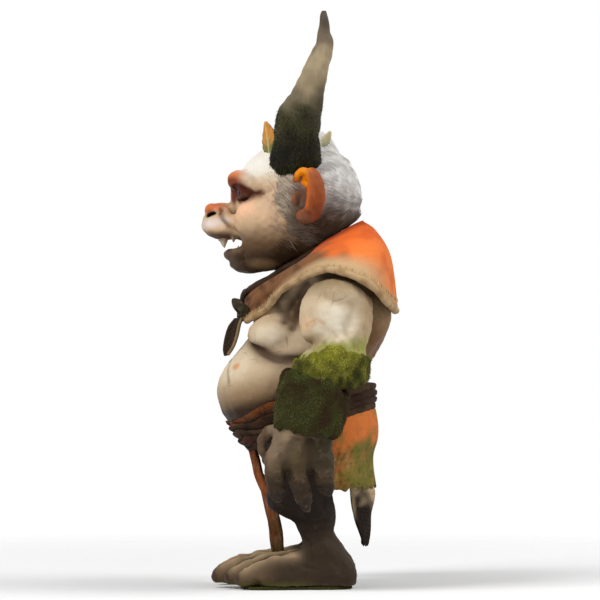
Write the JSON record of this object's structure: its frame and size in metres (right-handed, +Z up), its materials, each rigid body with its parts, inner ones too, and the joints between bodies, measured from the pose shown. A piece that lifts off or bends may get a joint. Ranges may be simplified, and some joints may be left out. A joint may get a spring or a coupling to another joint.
{
  "type": "horned goblin figure",
  "caption": "Standing goblin ornament with curved horns, fur wig, felt cape, sash and loincloth; its head turns, its arms swing and its hands twist on pegs.",
  "frame": {"origin": "on the ground, under the middle of the figure's box", "axes": "+Z up, -Y the way the figure faces, +X the figure's left"},
  "size_m": [0.146, 0.0992, 0.2892],
  "materials": {
    "cream_casting": "painted cast resin, satin",
    "face_casting": "painted cast resin, satin",
    "dark_casting": "painted cast resin, matt",
    "taupe_casting": "painted cast resin, matt",
    "ear_casting": "painted cast resin, satin",
    "horn_casting": "painted cast resin, matt",
    "fur": "fur wig on a backing",
    "bright_moss": "moss flock",
    "dark_moss": "moss flock",
    "leaf": "dry leaf",
    "felt": "felt",
    "hem": "rolled cloth hem",
    "leather": "dark leather",
    "sash_cloth": "wound cloth",
    "rust_cloth": "coarse cloth",
    "olive_cloth": "coarse cloth, dyed in patches",
    "eye": "gloss",
    "fang": "satin",
    "peg_steel": "turned",
    "bush_brass": "turned",
    "dowel_wood": "plain"
  },
  "bodies": {
    "torso": {"torso": "cream_casting", "left_leg": "dark_casting", "right_leg": "dark_casting", "left_hip_dowel": "dowel_wood", "right_hip_dowel": "dowel_wood", "left_sole_pad": "dark_moss", "right_sole_pad": "dark_moss", "neck_peg": "peg_steel", "neck_washer": "leather", "left_shoulder_bush": "bush_brass", "right_shoulder_bush": "bush_brass", "left_shoulder_washer": "leather", "right_shoulder_washer": "leather", "cape": "felt", "cape_binding": "hem", "neck_strap": "leather", "tie_knot": "leather", "left_tie_loop": "leather", "right_tie_loop": "leather", "left_tie_tail": "leather", "right_tie_tail": "leather", "sash": "sash_cloth", "loincloth_front": "rust_cloth", "loincloth_back": "olive_cloth", "back_tail": "leather"},
    "head": {"head": "face_casting", "hair": "fur", "neck_bush": "bush_brass", "left_ear": "ear_casting", "right_ear": "ear_casting", "left_eye": "eye", "right_eye": "eye", "left_fang": "fang", "right_fang": "fang", "left_horn": "horn_casting", "right_horn": "horn_casting", "left_horn_dowel": "dowel_wood", "right_horn_dowel": "dowel_wood", "left_front_leaf": "leaf", "right_front_leaf": "leaf", "left_back_leaf": "leaf", "right_back_leaf": "leaf"},
    "left_arm": {"left_arm": "cream_casting", "left_elbow_moss": "bright_moss", "left_cuff": "dark_moss", "left_shoulder_peg": "peg_steel", "left_wrist_bush": "bush_brass"},
    "right_arm": {"right_arm": "cream_casting", "right_elbow_moss": "bright_moss", "right_cuff": "dark_moss", "right_shoulder_peg": "peg_steel", "right_wrist_bush": "bush_brass"},
    "left_hand": {"left_hand": "taupe_casting", "left_wrist_peg": "peg_steel"},
    "right_hand": {"right_hand": "taupe_casting", "right_wrist_peg": "peg_steel"}
  },
  "joints": [
    {"name": "head_turn", "type": "hinge", "parent": "torso", "child": "head", "pos_m": [0, 0.0035, 0.164], "axis": [0, -0.5, 0.866], "range_deg": [-40, 40]},
    {"name": "left_shoulder_swing", "type": "hinge", "parent": "torso", "child": "left_arm", "pos_m": [0.0366, 0.01825, 0.138], "axis": [-1, 0, 0], "range_deg": [-15, 60]},
    {"name": "right_shoulder_swing", "type": "hinge", "parent": "torso", "child": "right_arm", "pos_m": [-0.0366, 0.01825, 0.138], "axis": [-1, 0, 0], "range_deg": [-15, 60]},
    {"name": "left_wrist_twist", "type": "hinge", "parent": "left_arm", "child": "left_hand", "pos_m": [0.0575, 0.0082, 0.107], "axis": [0, 0.1513, 0.9885], "range_deg": [-25, 25]},
    {"name": "right_wrist_twist", "type": "hinge", "parent": "right_arm", "child": "right_hand", "pos_m": [-0.0575, 0.0082, 0.107], "axis": [0, 0.1513, 0.9885], "range_deg": [-25, 25]}
  ]
}
